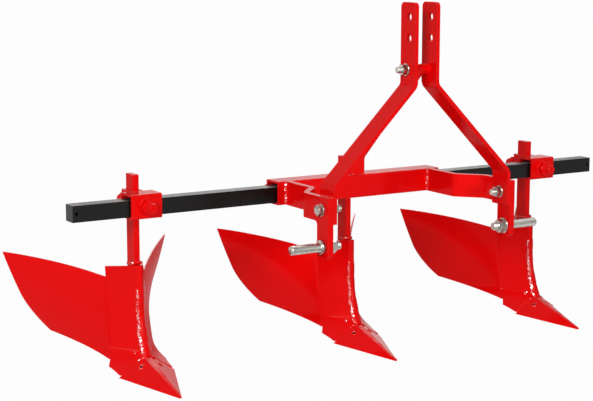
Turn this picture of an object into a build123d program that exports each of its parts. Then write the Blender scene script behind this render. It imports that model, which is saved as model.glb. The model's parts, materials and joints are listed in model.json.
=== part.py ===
from build123d import *

import os
from math import atan2, degrees, sin, tan

# Three-row ridger for the three-point linkage of a small tractor.
# A square toolbar slides in a sleeve that carries the hitch. Each of the three ridging bodies
# hangs on a flat leg, in a pocket behind the sleeve or behind a clamp on the toolbar.
# Everything is drawn level, with the origin on the toolbar's centre line: +X along the toolbar,
# +Y to the rear, +Z up. The finished pieces are then leaned back onto shares and wings,
# which is how the ridger stands on a yard.

# Toolbar
bar_side = 40.0
bar_wall = 4.0
bar_length = 1600.0
bar_cap = 4.0
stop_hole = 8.0
stop_hole_inset = 10.0

# Sleeve and clamps, cut from one size of tube, with the toolbar lying on the floor of the tube
tube_side = 60.0
tube_wall = 6.0
tube_corner = 5.0
sleeve_length = 500.0
clamp_length = 80.0
row_spacing = 614.0

# Leg of a ridging body and the pocket that holds it
leg_thickness = 16.0
leg_depth = 40.0
leg_above = 73.0
leg_tail = 300.0
leg_foot = 380.0
pocket_wall = 9.0
pocket_slack = 1.0
pocket_corner = 8.0

# Set bolts of the sleeve, the clamps and the pockets, each in a welded nut
set_bolt_size = 24.0
set_bolt_play = 0.5
set_nut_flats = 36.0
set_nut_height = 19.0
set_bolt_stub = 20.0
set_bolt_chamfer = 2.5
sleeve_bolt_inset = 25.0

# Hitch arms: plates on edge, joggled outward, with a leg down to the lower link pin
arm_thickness = 15.0
arm_half_spread = 227.6
hitch_half_spread = 281.0
arm_joggle_start = 141.0
arm_joggle_end = 199.0
arm_reach = 309.0
arm_leg_width = 50.0
arm_leg_drop = 112.5
arm_foot_corner = 12.0
arm_neck_radius = 10.0
arm_bend_radius = 10.0

# Lower link pins
link_pin_size = 22.0
link_pin_end = 88.4
link_pin_set_back = 25.0
link_pin_drop = 85.0
link_collar_size = 34.0
link_collar_width = 8.0
link_thread_size = 20.0
link_thread_play = 0.25
link_thread_tail = 15.0
link_nut_flats = 30.0
link_nut_height = 16.0
link_flange_size = 40.0
link_flange_width = 3.0
linch_hole = 10.0
linch_hole_inset = 9.0
pin_chamfer = 2.0

# Mast: two flat bars, bent inward to the top link ears
mast_width = 60.0
mast_thickness = 10.0
mast_foot_drop = 29.8
mast_lower_bend = 57.0
mast_upper_bend = 286.0
mast_top = 485.5
mast_half_spread = 36.6
mast_top_corner = 12.0
mast_bend_radius = 18.0
top_link_hole = 19.5
top_link_high = 450.0
top_link_low = 399.4
top_link_shift = 3.0
mast_bolt_high = 323.6
mast_bolt_shift = 6.0
mast_foot_bolt_high = 3.0
spacer_size = 26.0
bolt_size = 16.0
bolt_play = 0.5
bolt_flats = 24.0
bolt_head_height = 10.0
bolt_nut_height = 13.0
bolt_tail = 12.0
washer_size = 30.0
washer_thickness = 3.0

# Strut from the sleeve up to the spacer of the mast
strut_width = 40.0
strut_thickness = 8.0
strut_foot_front = 15.0
strut_bend = 77.0
strut_bend_radius = 15.0

# Share: a hollow point with a flat ridge, open behind and below
share_tip_reach = 195.8
share_tip_drop = 424.6
share_tip_height = 4.6
share_tip_half = 3.0
share_back_reach = 15.6
share_heel_drop = 409.6
share_heel_half = 74.5
share_ridge_drop = 366.0
share_ridge_half = 8.5
share_ridge_tip_half = 2.0
share_wall = 8.0
share_point_length = 60.0
share_seat_gap = 0.3
share_lip_length = 95.0
share_lip_wall = 6.0
share_lip_rise = 3.0

# Frog: a keel with a curved nose, and a side plate on each side of it whose rear edge bends twice
nose_front = 9.6
nose_top_drop = 146.0
nose_bend_drop = 235.0
nose_round = 9.6
nose_round_depth = 5.4
toe_reach = 27.0
plate_thickness = 5.0
plate_step = 4.0
frog_top_half = 51.6
frog_top_rear = 106.4
frog_top_drop = 159.6
frog_bend_half = 56.2
frog_bend_rear = 71.4
frog_bend_drop = 335.0
frog_waist_half = 58.3
frog_waist_rear = 61.5
frog_heel_half = 77.0
frog_heel_rear = 37.0
frog_heel_drop = 393.2
frog_toe_drop = 405.0
frog_toe_half = 72.0

# Wing: a twisted sheet that runs on from the side plate, narrow below and flared above
wing_thickness = 3.0
wing_step = 1.0
wing_tip_half = 230.0
wing_tip_rear = 336.5
wing_tip_drop = 145.0
wing_low_half = 114.2
wing_low_rear = 264.9
wing_low_drop = 381.5
wing_root_drop = 186.3
wing_top_bulge = 5.6
wing_arc_start_rear = 325.2
wing_arc_start_drop = 261.2
wing_arc_end_rear = 275.5
wing_arc_end_drop = 348.5
wing_arc_bulge = 8.4
wing_overlength = 60.0

# Values that follow from the sizes above
tube_floor = -bar_side / 2 - tube_wall
tube_mid = tube_floor + tube_side / 2
tube_top = tube_floor + tube_side
leg_front = tube_side / 2
leg_rear = leg_front + leg_depth
pocket_half = leg_thickness / 2 + pocket_slack + pocket_wall
pocket_rear = leg_rear + pocket_slack + pocket_wall
mast_mid = -arm_reach + mast_width / 2
link_pin_y = -arm_reach + link_pin_set_back
keel_half = leg_thickness / 2

pieces = {}


def mitred(path, thickness):
    """Return the corners of a flat bar's edge view: a path with half the thickness on each side."""
    points = [Vector(*point) for point in path]
    runs = [(after - before).normalized() for before, after in zip(points, points[1:])]
    left = []
    right = []
    for index, point in enumerate(points):
        before = runs[max(index - 1, 0)]
        after = runs[min(index, len(runs) - 1)]
        bisector = (before + after).normalized()
        reach = thickness / 2 / bisector.dot(after)
        side = Vector(-bisector.Y, bisector.X) * reach
        left.append(point + side)
        right.append(point - side)
    return [(corner.X, corner.Y) for corner in left + right[::-1]]


def round_bends(sketch, path, thickness, inner_radius):
    """Round both corners of each bend in a flat bar's edge view."""
    corners = mitred(path, thickness)
    points = [Vector(*point) for point in path]
    for index in range(1, len(path) - 1):
        turn = (points[index] - points[index - 1]).cross(points[index + 1] - points[index])
        left = corners[index]
        right = corners[-1 - index]
        inner, outer = (left, right) if turn.Z > 0 else (right, left)
        fillet(sketch.vertices().sort_by_distance(inner)[0], radius=inner_radius)
        fillet(sketch.vertices().sort_by_distance(outer)[0], radius=inner_radius + thickness)


def drawn_line(start, end, drop):
    """Return x and y, at a depth below the toolbar, of the line through two points (x, y, drop)."""
    share = (drop - start[2]) / (end[2] - start[2])
    return Vector(start[0] + (end[0] - start[0]) * share, start[1] + (end[1] - start[1]) * share)


def mirror_to(part, side):
    """Return the right-hand piece, or its mirror image for the left-hand side."""
    return part if side > 0 else mirror(part, about=Plane.YZ)


def set_bolt(seat, reach):
    """Return a set bolt in its nut: the nut stands on the seat plane, the bolt reaches through it."""
    with BuildPart() as bolt:
        with BuildSketch(seat):
            RegularPolygon(radius=set_nut_flats / 2, side_count=6, major_radius=False)
        extrude(amount=set_nut_height)
        with BuildSketch(seat.offset(-reach)):
            Circle(set_bolt_size / 2)
        extrude(amount=reach + set_nut_height + set_bolt_stub)
        chamfer(bolt.faces().sort_by(Axis(seat.origin, seat.z_dir))[-1].edges(), length=set_bolt_chamfer)
    return bolt.part


def through_bolt(seat, grip):
    """Return a bolt with head, two washers and nut, its head washer on the seat plane."""
    with BuildPart() as bolt:
        with BuildSketch(seat.offset(washer_thickness)):
            RegularPolygon(radius=bolt_flats / 2, side_count=6, major_radius=False)
        extrude(amount=bolt_head_height)
        with BuildSketch(seat, seat.offset(-grip - washer_thickness)):
            Circle(washer_size / 2)
        extrude(amount=washer_thickness)
        with BuildSketch(seat.offset(-grip - washer_thickness - bolt_nut_height)):
            RegularPolygon(radius=bolt_flats / 2, side_count=6, major_radius=False)
        extrude(amount=bolt_nut_height)
        with BuildSketch(seat.offset(-grip - washer_thickness - bolt_nut_height - bolt_tail)):
            Circle(bolt_size / 2)
        extrude(amount=grip + washer_thickness + bolt_nut_height + bolt_tail)
    return bolt.part


def square_tube(x_mid, length):
    """Return a length of the tube that the toolbar slides in."""
    section = Plane.YZ.offset(x_mid - length / 2)
    with BuildPart() as tube:
        with BuildSketch(section):
            with Locations((0, tube_mid)):
                RectangleRounded(tube_side, tube_side, tube_corner)
                Rectangle(tube_side - 2 * tube_wall, tube_side - 2 * tube_wall, mode=Mode.SUBTRACT)
        extrude(amount=length)
    return tube.part


def leg_pocket(x_mid):
    """Return the bent strap behind a tube that holds a leg, with the hole of its set bolt."""
    with BuildPart() as pocket:
        with BuildSketch(Plane.XY.offset(tube_floor)) as outline:
            with Locations((x_mid, leg_front)):
                Rectangle(
                    2 * pocket_half, pocket_rear - leg_front, align=(Align.CENTER, Align.MIN)
                )
            fillet(outline.vertices().group_by(Axis.Y)[-1], radius=pocket_corner)
            with Locations((x_mid, leg_front)):
                Rectangle(
                    leg_thickness + 2 * pocket_slack,
                    leg_depth + pocket_slack,
                    align=(Align.CENTER, Align.MIN),
                    mode=Mode.SUBTRACT,
                )
        extrude(amount=tube_side)
        with BuildSketch(Plane((x_mid, pocket_rear, tube_mid), x_dir=(1, 0, 0), z_dir=(0, 1, 0))):
            Circle(set_bolt_size / 2 + set_bolt_play)
        extrude(amount=-pocket_wall - pocket_slack, mode=Mode.SUBTRACT)
    return pocket.part


def front_seat(x_mid):
    """Return the plane on the front of a tube on which a set bolt's nut stands."""
    return Plane((x_mid, -tube_side / 2, tube_mid), x_dir=(1, 0, 0), z_dir=(0, -1, 0))


def rear_seat(x_mid, y_face):
    """Return the plane on a rear face on which a set bolt's nut stands."""
    return Plane((x_mid, y_face, tube_mid), x_dir=(1, 0, 0), z_dir=(0, 1, 0))


# Toolbar, with a plate welded into each end
inner_side = bar_side - 2 * bar_wall
with BuildPart() as toolbar:
    with BuildSketch(Plane.YZ.offset(-bar_length / 2)):
        Rectangle(bar_side, bar_side)
        Rectangle(inner_side, inner_side, mode=Mode.SUBTRACT)
    extrude(amount=bar_length)
    with BuildSketch(Plane.XZ.offset(bar_side / 2)):
        with Locations(
            (-bar_length / 2 + stop_hole_inset, 0), (bar_length / 2 - stop_hole_inset, 0)
        ):
            Circle(stop_hole / 2)
    extrude(amount=-bar_wall, mode=Mode.SUBTRACT)
pieces["toolbar"] = toolbar.part

for name, end_x in (("left", -bar_length / 2), ("right", bar_length / 2 - bar_cap)):
    with BuildPart() as end_cap:
        with BuildSketch(Plane.YZ.offset(end_x)):
            Rectangle(inner_side, inner_side)
        extrude(amount=bar_cap)
    pieces[f"{name}_end_cap"] = end_cap.part

# Sleeve in the middle, with two set bolts in its rear wall and the pocket of the middle leg
sleeve_bolt_x = sleeve_length / 2 - sleeve_bolt_inset
with BuildPart() as centre_sleeve:
    add(square_tube(0, sleeve_length))
    with BuildSketch(rear_seat(0, tube_side / 2)):
        with Locations((-sleeve_bolt_x, 0), (sleeve_bolt_x, 0)):
            Circle(set_bolt_size / 2 + set_bolt_play)
    extrude(amount=-tube_wall, mode=Mode.SUBTRACT)
pieces["centre_sleeve"] = centre_sleeve.part
pieces["centre_pocket"] = leg_pocket(0)
pieces["centre_pocket_bolt"] = set_bolt(rear_seat(0, pocket_rear), pocket_rear - leg_rear)

bar_gap = tube_side / 2 - bar_side / 2
for name, bolt_x in (("left", -sleeve_bolt_x), ("right", sleeve_bolt_x)):
    pieces[f"{name}_sleeve_bolt"] = set_bolt(rear_seat(bolt_x, tube_side / 2), bar_gap)

# Clamps on the toolbar, each with its own pocket
for name, clamp_x in (("left", -row_spacing), ("right", row_spacing)):
    with BuildPart() as clamp:
        add(square_tube(clamp_x, clamp_length))
        with BuildSketch(front_seat(clamp_x)):
            Circle(set_bolt_size / 2 + set_bolt_play)
        extrude(amount=-tube_wall, mode=Mode.SUBTRACT)
    pieces[f"{name}_clamp"] = clamp.part
    pieces[f"{name}_pocket"] = leg_pocket(clamp_x)
    pieces[f"{name}_clamp_bolt"] = set_bolt(front_seat(clamp_x), bar_gap)
    pieces[f"{name}_pocket_bolt"] = set_bolt(
        rear_seat(clamp_x, pocket_rear), pocket_rear - leg_rear
    )

# Hitch arms: the plan gives the joggle, the side view gives the leg with its rounded foot
arm_x = arm_half_spread - arm_thickness / 2
hitch_x = hitch_half_spread - arm_thickness / 2
arm_path = [
    (arm_x, -tube_side / 2),
    (arm_x, -arm_joggle_start),
    (hitch_x, -arm_joggle_end),
    (hitch_x, -arm_reach),
]
hitch_side = Plane.YZ.offset(hitch_half_spread)
with BuildPart() as arm:
    with BuildSketch(Plane.XY.offset(-arm_leg_drop)) as plan:
        with BuildLine():
            Polyline(*mitred(arm_path, arm_thickness), close=True)
        make_face()
        round_bends(plan, arm_path, arm_thickness, arm_bend_radius)
    extrude(amount=arm_leg_drop + tube_top)
    with BuildSketch(Plane.YZ) as side_view:
        with BuildLine():
            Polyline(
                (-tube_side / 2, tube_top),
                (-arm_reach, tube_top),
                (-arm_reach, -arm_leg_drop),
                (-arm_reach + arm_leg_width, -arm_leg_drop),
                (-arm_reach + arm_leg_width, tube_floor),
                (-tube_side / 2, tube_floor),
                close=True,
            )
        make_face()
        fillet(side_view.vertices().group_by(Axis.Y)[0], radius=arm_foot_corner)
        fillet(
            side_view.vertices().sort_by_distance((-arm_reach + arm_leg_width, tube_floor))[0],
            radius=arm_neck_radius,
        )
    extrude(amount=hitch_half_spread, mode=Mode.INTERSECT)
    with BuildSketch(hitch_side):
        with Locations((mast_mid, mast_foot_bolt_high)):
            Circle(bolt_size / 2 + bolt_play)
        with Locations((link_pin_y, -link_pin_drop)):
            Circle(link_thread_size / 2 + link_thread_play)
    extrude(amount=-arm_thickness, mode=Mode.SUBTRACT)

# Mast bars: the front view gives the two bends
mast_foot_x = hitch_half_spread - arm_thickness - mast_thickness / 2
mast_ear_x = mast_half_spread - mast_thickness / 2
mast_path = [
    (mast_foot_x, -mast_foot_drop),
    (mast_foot_x, mast_lower_bend),
    (mast_ear_x, mast_upper_bend),
    (mast_ear_x, mast_top),
]
with BuildPart() as mast_bar:
    with BuildSketch(Plane.XZ.offset(-mast_mid - mast_width / 2)) as front_view:
        with BuildLine():
            Polyline(*mitred(mast_path, mast_thickness), close=True)
        make_face()
        round_bends(front_view, mast_path, mast_thickness, mast_bend_radius)
    extrude(amount=mast_width)
    fillet(mast_bar.edges().filter_by(Axis.X).group_by(Axis.Z)[-1], radius=mast_top_corner)
    with BuildSketch(hitch_side):
        with Locations((mast_mid, mast_foot_bolt_high), (mast_mid + mast_bolt_shift, mast_bolt_high)):
            Circle(bolt_size / 2 + bolt_play)
        with Locations(
            (mast_mid - top_link_shift, top_link_high), (mast_mid - top_link_shift, top_link_low)
        ):
            Circle(top_link_hole / 2)
    extrude(amount=-hitch_half_spread, mode=Mode.SUBTRACT)

# Lower link pin: collar against the arm, a linch pin hole at its end, and a thread inward
pin_seat = Plane(
    (hitch_half_spread, link_pin_y, -link_pin_drop), x_dir=(0, 1, 0), z_dir=(1, 0, 0)
)
thread_length = arm_thickness + link_flange_width + link_nut_height + link_thread_tail
with BuildPart() as link_pin:
    with BuildSketch(pin_seat):
        Circle(link_pin_size / 2)
    extrude(amount=link_pin_end)
    chamfer(link_pin.faces().sort_by(Axis.X)[-1].edges(), length=pin_chamfer)
    with BuildSketch(pin_seat):
        Circle(link_collar_size / 2)
    extrude(amount=link_collar_width)
    with BuildSketch(pin_seat):
        Circle(link_thread_size / 2)
    extrude(amount=-thread_length)
    with BuildSketch(Plane.XZ.offset(-link_pin_y)):
        with Locations((hitch_half_spread + link_pin_end - linch_hole_inset, -link_pin_drop)):
            Circle(linch_hole / 2)
    extrude(amount=link_pin_size, both=True, mode=Mode.SUBTRACT)

nut_seat = pin_seat.offset(-arm_thickness)
with BuildPart() as pin_nut:
    with BuildSketch(nut_seat):
        Circle(link_flange_size / 2)
        Circle(link_thread_size / 2 + link_thread_play, mode=Mode.SUBTRACT)
    extrude(amount=-link_flange_width)
    with BuildSketch(nut_seat.offset(-link_flange_width)):
        RegularPolygon(radius=link_nut_flats / 2, side_count=6, major_radius=False)
        Circle(link_thread_size / 2 + link_thread_play, mode=Mode.SUBTRACT)
    extrude(amount=-link_nut_height)

foot_bolt = through_bolt(
    Plane((hitch_half_spread, mast_mid, mast_foot_bolt_high), x_dir=(0, 1, 0), z_dir=(1, 0, 0)),
    arm_thickness + mast_thickness,
)

for name, side in (("left", -1), ("right", 1)):
    pieces[f"{name}_arm"] = mirror_to(arm.part, side)
    pieces[f"{name}_mast_bar"] = mirror_to(mast_bar.part, side)
    pieces[f"{name}_link_pin"] = mirror_to(link_pin.part, side)
    pieces[f"{name}_pin_nut"] = mirror_to(pin_nut.part, side)
    pieces[f"{name}_foot_bolt"] = mirror_to(foot_bolt, side)

# Spacer between the mast bars, its bolt, and the strut that ends on it
spacer_y = mast_mid + mast_bolt_shift
spacer_half = mast_half_spread - mast_thickness
with BuildPart() as mast_spacer:
    with BuildSketch(Plane.YZ.offset(-spacer_half)):
        with Locations((spacer_y, mast_bolt_high)):
            Circle(spacer_size / 2)
            Circle(bolt_size / 2 + bolt_play, mode=Mode.SUBTRACT)
    extrude(amount=2 * spacer_half)
pieces["mast_spacer"] = mast_spacer.part
pieces["mast_bolt"] = through_bolt(
    Plane((mast_half_spread, spacer_y, mast_bolt_high), x_dir=(0, 1, 0), z_dir=(1, 0, 0)),
    2 * mast_half_spread,
)

strut_foot_y = -strut_foot_front + strut_thickness / 2
strut_path = [(strut_foot_y, tube_top), (strut_foot_y, strut_bend), (spacer_y, mast_bolt_high)]
with BuildPart() as rear_strut:
    with BuildSketch(Plane.YZ.offset(-strut_width / 2)) as strut_view:
        with BuildLine():
            Polyline(*mitred(strut_path, strut_thickness), close=True)
        make_face()
        round_bends(strut_view, strut_path, strut_thickness, strut_bend_radius)
        with Locations((spacer_y, mast_bolt_high)):
            Circle(spacer_size / 2, mode=Mode.SUBTRACT)
    extrude(amount=strut_width)
pieces["rear_strut"] = rear_strut.part

# Share: the outer form runs from a small point to a wide back, the hollow starts behind the point
share_back = -share_back_reach


def along_share(reach, at_tip, at_back):
    """Return a value between the tip's and the back's, at a distance ahead of the toolbar."""
    part_way = (reach - share_back_reach) / (share_tip_reach - share_back_reach)
    return at_back + (at_tip - at_back) * part_way


def share_corners(reach, inset):
    """Return half the cross-section of the share at a reach, with its faces moved inward."""
    ridge = -along_share(reach, share_tip_drop - share_tip_height, share_ridge_drop)
    heel = -along_share(reach, share_tip_drop, share_heel_drop)
    ridge_half = along_share(reach, share_ridge_tip_half, share_ridge_half)
    heel_half = along_share(reach, share_tip_half, share_heel_half)
    slope = atan2(ridge - heel, heel_half - ridge_half)
    lowered = ridge - inset
    half = ridge_half - inset * tan(slope / 2)
    foot = heel_half - inset / sin(slope)
    if inset == 0:
        return [(half, lowered), (foot, heel)]
    below = share_tip_drop - share_heel_drop + share_wall
    return [(half, lowered), (foot + below / tan(slope), heel - below)]


def share_section(reach, inset):
    """Return the closed cross-section of the share, or of the hollow in it."""
    half = share_corners(reach, inset)
    return half + [(-x, z) for x, z in half[::-1]]


def share_form(near, far, inset):
    """Return the solid between two cross-sections of the share."""
    with BuildPart() as form:
        for reach in (near, far):
            with BuildSketch(Plane.XZ.offset(reach)):
                with BuildLine():
                    Polyline(*share_section(reach, inset), close=True)
                make_face()
        loft(ruled=True)
    return form.part


hollow_end = share_tip_reach - share_point_length
with BuildPart() as share:
    add(share_form(share_back_reach, share_tip_reach, 0))
    add(share_form(share_back_reach, hollow_end, share_wall), mode=Mode.SUBTRACT)

# Lip of the frog inside the share, cut off along the share's floor
floor_run = Vector(0, share_tip_reach - share_back_reach, share_tip_drop - share_heel_drop)
share_floor = Plane(
    (0, share_back, -share_heel_drop),
    x_dir=(1, 0, 0),
    z_dir=Vector(1, 0, 0).cross(floor_run),
)
lip_back = share_back_reach - share_lip_wall
lip_inset = share_wall + share_seat_gap
with BuildPart() as share_lip:
    add(share_form(lip_back, share_lip_length, lip_inset))
    add(
        share_form(lip_back, share_lip_length, lip_inset + share_lip_wall), mode=Mode.SUBTRACT
    )
    split(bisect_by=share_floor.offset(share_lip_rise), keep=Keep.TOP)

# Frog: keel and side plates, trimmed to one side view, and the lip that carries the share
toe_drop = -share_corners(toe_reach, 0)[0][1]
rear_corners = [
    (frog_top_half, frog_top_rear, frog_top_drop),
    (frog_bend_half, frog_bend_rear, frog_bend_drop),
    (frog_waist_half, frog_waist_rear, toe_drop),
    (frog_heel_half, frog_heel_rear, frog_heel_drop),
]
nose_sweep = nose_front + toe_reach
nose_radius = ((toe_drop - nose_bend_drop) ** 2 + nose_sweep**2) / (2 * nose_sweep)


def rear_edge(drop):
    """Return the rear edge of the right side plate at a depth, run on straight past its ends."""
    for start, end in zip(rear_corners, rear_corners[1:]):
        if drop <= end[2]:
            break
    return drawn_line(start, end, drop)


def nose_line(drop):
    """Return the front of the side plates at a depth: upright above, curving forward below."""
    below_bend = max(drop - nose_bend_drop, 0)
    curve = nose_radius - (nose_radius**2 - below_bend**2) ** 0.5
    return Vector(keel_half, nose_front - curve + plate_step)


def plate_section(drop, front):
    """Return a cross-section of the right side plate at a depth, from its front to its rear edge."""
    rear = rear_edge(drop)
    run = (rear - front).normalized()
    rear += run * plate_thickness
    inward = Vector(-run.Y, run.X) * plate_thickness
    return [(p.X, p.Y) for p in (front, rear, rear + inward, front + inward)]


with BuildPart() as frog:
    for drop, front in (
        (nose_top_drop - plate_thickness, nose_line(nose_top_drop)),
        (nose_bend_drop, nose_line(nose_bend_drop)),
        ((nose_bend_drop + toe_drop) / 2, nose_line((nose_bend_drop + toe_drop) / 2)),
        (frog_bend_drop, nose_line(frog_bend_drop)),
        (toe_drop, nose_line(toe_drop)),
        (frog_toe_drop, Vector(frog_toe_half, share_back)),
    ):
        with BuildSketch(Plane.XY.offset(-drop)):
            with BuildLine():
                Polyline(*plate_section(drop, front), close=True)
            make_face()
    loft(ruled=True)
    mirror(about=Plane.YZ)
    with BuildSketch(Plane.YZ.offset(-keel_half)):
        with Locations((-toe_reach, -frog_toe_drop)):
            Rectangle(
                toe_reach + leg_front,
                frog_toe_drop - nose_top_drop + plate_thickness,
                align=(Align.MIN, Align.MIN),
            )
    extrude(amount=leg_thickness)
    with BuildSketch(Plane.YZ.offset(-frog_heel_half)):
        with BuildLine():
            Line((nose_front, -nose_bend_drop), (nose_front, -nose_top_drop))
            Polyline(
                (nose_front, -nose_top_drop),
                *[(rear, -drop) for _, rear, drop in rear_corners],
                (share_back, -frog_toe_drop),
                (share_back, -share_ridge_drop),
                (-toe_reach, -toe_drop),
            )
            TangentArc(
                (nose_front, -nose_bend_drop), (-toe_reach, -toe_drop), tangent=(0, -1)
            )
        make_face()
    extrude(amount=2 * frog_heel_half, mode=Mode.INTERSECT)
    with BuildSketch(Plane.XY.offset(-nose_bend_drop)):
        with Locations((0, nose_front)):
            Rectangle(2 * nose_round, nose_round_depth, align=(Align.CENTER, Align.MIN))
        with Locations((0, nose_front + nose_round)):
            Circle(nose_round, mode=Mode.SUBTRACT)
    extrude(amount=nose_bend_drop - nose_top_drop, mode=Mode.SUBTRACT)
    add(share_lip.part)

# Wing: each cross-section is straight, from the plate's rear edge to a line down from the tip
wing_tip = (wing_tip_half, wing_tip_rear, wing_tip_drop)
wing_low = (wing_low_half, wing_low_rear, wing_low_drop)


def wing_section(drop):
    """Return a cross-section of the right wing's sheet, drawn longer than the wing at both ends."""
    root = rear_edge(drop)
    end = drawn_line(wing_tip, wing_low, drop)
    run = (end - root).normalized()
    inward = Vector(-run.Y, run.X)
    front = root - run * wing_overlength + inward * wing_step
    rear = end + run * wing_overlength + inward * wing_step
    sheet = inward * wing_thickness
    return [(p.X, p.Y) for p in (front, rear, rear + sheet, front + sheet)]


wing_root_high = rear_edge(wing_root_drop)
wing_root_low = rear_edge(wing_low_drop)
with BuildPart() as wing:
    for drop in (
        wing_tip_drop - wing_thickness, frog_bend_drop, toe_drop, wing_low_drop + wing_thickness
    ):
        with BuildSketch(Plane.XY.offset(-drop)):
            with BuildLine():
                Polyline(*wing_section(drop), close=True)
            make_face()
    loft(ruled=True)
    with BuildSketch(Plane.YZ):
        with BuildLine():
            SagittaArc(
                (wing_root_high.Y, -wing_root_drop),
                (wing_tip_rear, -wing_tip_drop),
                wing_top_bulge,
            )
            Line(
                (wing_tip_rear, -wing_tip_drop),
                (wing_arc_start_rear, -wing_arc_start_drop),
            )
            SagittaArc(
                (wing_arc_start_rear, -wing_arc_start_drop),
                (wing_arc_end_rear, -wing_arc_end_drop),
                wing_arc_bulge,
            )
            Polyline(
                (wing_arc_end_rear, -wing_arc_end_drop),
                (wing_root_low.Y, -wing_low_drop),
                (frog_waist_rear, -toe_drop),
                (frog_bend_rear, -frog_bend_drop),
                (wing_root_high.Y, -wing_root_drop),
            )
        make_face()
    extrude(amount=2 * wing_tip_half, mode=Mode.INTERSECT)

with BuildPart() as leg:
    with BuildSketch(Plane.YZ.offset(-leg_thickness / 2)):
        with BuildLine():
            Polyline(
                (leg_front, leg_above),
                (leg_rear, leg_above),
                (leg_rear, -leg_tail),
                (leg_front + leg_thickness, -leg_foot),
                (leg_front, -leg_foot),
                close=True,
            )
        make_face()
    extrude(amount=leg_thickness)

rows = (
    ("left", -row_spacing, "left_outer_wing", "left_inner_wing"),
    ("centre", 0, "centre_left_wing", "centre_right_wing"),
    ("right", row_spacing, "right_inner_wing", "right_outer_wing"),
)
for name, leg_x, left_wing, right_wing in rows:
    row = Location((leg_x, 0, 0))
    pieces[f"{name}_leg"] = leg.part.moved(row)
    pieces[f"{name}_frog"] = frog.part.moved(row)
    pieces[f"{name}_share"] = share.part.moved(row)
    pieces[left_wing] = mirror_to(wing.part, -1).moved(row)
    pieces[right_wing] = mirror_to(wing.part, 1).moved(row)

# Parked stance: the ground runs from the heel of the share to the low end of the wing's arc
lean = degrees(
    atan2(share_heel_drop - wing_arc_end_drop, wing_arc_end_rear + share_back_reach)
)

# The leaned machine stands on the floor, with the middle of its box over the origin
os.makedirs("parts", exist_ok=True)
leaned = {label: piece.moved(Location((0, 0, 0), (-lean, 0, 0))) for label, piece in pieces.items()}
box = Compound(children=[Compound(piece.wrapped) for piece in leaned.values()]).bounding_box()
stand = Location((0, -(box.min.Y + box.max.Y) / 2, -box.min.Z))
print(f"lean {lean:.9f} degrees, toolbar at y {stand.position.Y:.6f}, z {stand.position.Z:.6f}")
for label, piece in leaned.items():
    placed = piece.moved(stand)
    placed.label = label
    export_step(placed, f"parts/{label}.step")
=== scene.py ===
"""Looks of a three-row ridger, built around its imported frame.

Sizes are millimetres on the level machine: origin on the toolbar's centre line, +X along the
toolbar, +Y to the rear, +Z up. A Stance leans every new surface back onto shares and wings,
as the machine stands when it is parked, and turns millimetres into metres.
"""

import json
import logging
import math
from dataclasses import dataclass, field
from enum import Enum

import bmesh
import bpy
import numpy as np
from mathutils import Matrix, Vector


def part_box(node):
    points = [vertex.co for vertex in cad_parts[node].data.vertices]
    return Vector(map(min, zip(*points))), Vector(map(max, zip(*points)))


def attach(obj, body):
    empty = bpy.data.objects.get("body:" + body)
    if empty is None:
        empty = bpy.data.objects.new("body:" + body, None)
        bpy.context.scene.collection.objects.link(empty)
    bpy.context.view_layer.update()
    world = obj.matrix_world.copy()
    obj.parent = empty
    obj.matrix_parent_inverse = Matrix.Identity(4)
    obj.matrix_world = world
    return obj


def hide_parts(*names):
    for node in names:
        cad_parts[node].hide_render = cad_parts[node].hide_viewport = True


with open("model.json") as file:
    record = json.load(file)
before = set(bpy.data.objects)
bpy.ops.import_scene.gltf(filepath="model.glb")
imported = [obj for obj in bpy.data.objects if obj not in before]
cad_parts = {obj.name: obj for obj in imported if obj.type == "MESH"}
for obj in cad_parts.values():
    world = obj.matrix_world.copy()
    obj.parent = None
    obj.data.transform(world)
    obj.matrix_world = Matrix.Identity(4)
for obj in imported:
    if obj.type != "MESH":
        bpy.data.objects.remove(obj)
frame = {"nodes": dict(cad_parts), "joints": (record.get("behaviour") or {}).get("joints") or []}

log = logging.getLogger("ridger")


class Side(Enum):
    """The two sides of the machine, with the sign of X on each."""

    LEFT = -1
    RIGHT = 1

    @property
    def word(self) -> str:
        """The side's name as the frame's nodes use it."""
        return self.name.lower()


class Row(Enum):
    """The three ridging bodies, with the X of each row in millimetres."""

    LEFT = -614.0
    CENTRE = 0.0
    RIGHT = 614.0

    @property
    def word(self) -> str:
        """The row's name as the frame's nodes use it."""
        return self.name.lower()

    @property
    def body(self) -> str:
        """The frame's body that the row's leg, frog, share and wings belong to."""
        return f"{self.word}_body"


@dataclass(frozen=True)
class Stance:
    """How the level machine is leaned back and set down on the floor."""

    lean: float
    rear: float
    high: float

    @classmethod
    def from_frame(cls) -> "Stance":
        """Read the lean from the slide of a leg, and the toolbar's centre from its box."""
        low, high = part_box("toolbar")
        axis = next(j["axis"] for j in frame["joints"] if j["name"] == "centre_leg_slide")
        return cls(math.atan2(axis[1], axis[2]), (low.y + high.y) * 500, (low.z + high.z) * 500)

    def turned(self, vectors: np.ndarray) -> np.ndarray:
        """Lean directions back about the toolbar: Y and Z turn together by the lean."""
        c, s = math.cos(self.lean), math.sin(self.lean)
        return np.asarray(vectors, float) @ np.array([[1, 0, 0], [0, c, -s], [0, s, c]])

    def parked(self, points: np.ndarray) -> np.ndarray:
        """Lean points back, move the toolbar to its place and give them in metres."""
        return (self.turned(points) + np.array([0.0, self.rear, self.high])) * 0.001


def unit(vector: np.ndarray) -> np.ndarray:
    """Scale vectors to a length of one along their last axis."""
    return vector / np.linalg.norm(vector, axis=-1, keepdims=True)


def shown(name: str, data: bpy.types.ID) -> bpy.types.Object:
    """Make an object of a mesh, lamp or camera and put it into the scene."""
    made = bpy.data.objects.new(name, data)
    bpy.context.scene.collection.objects.link(made)
    return made


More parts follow.
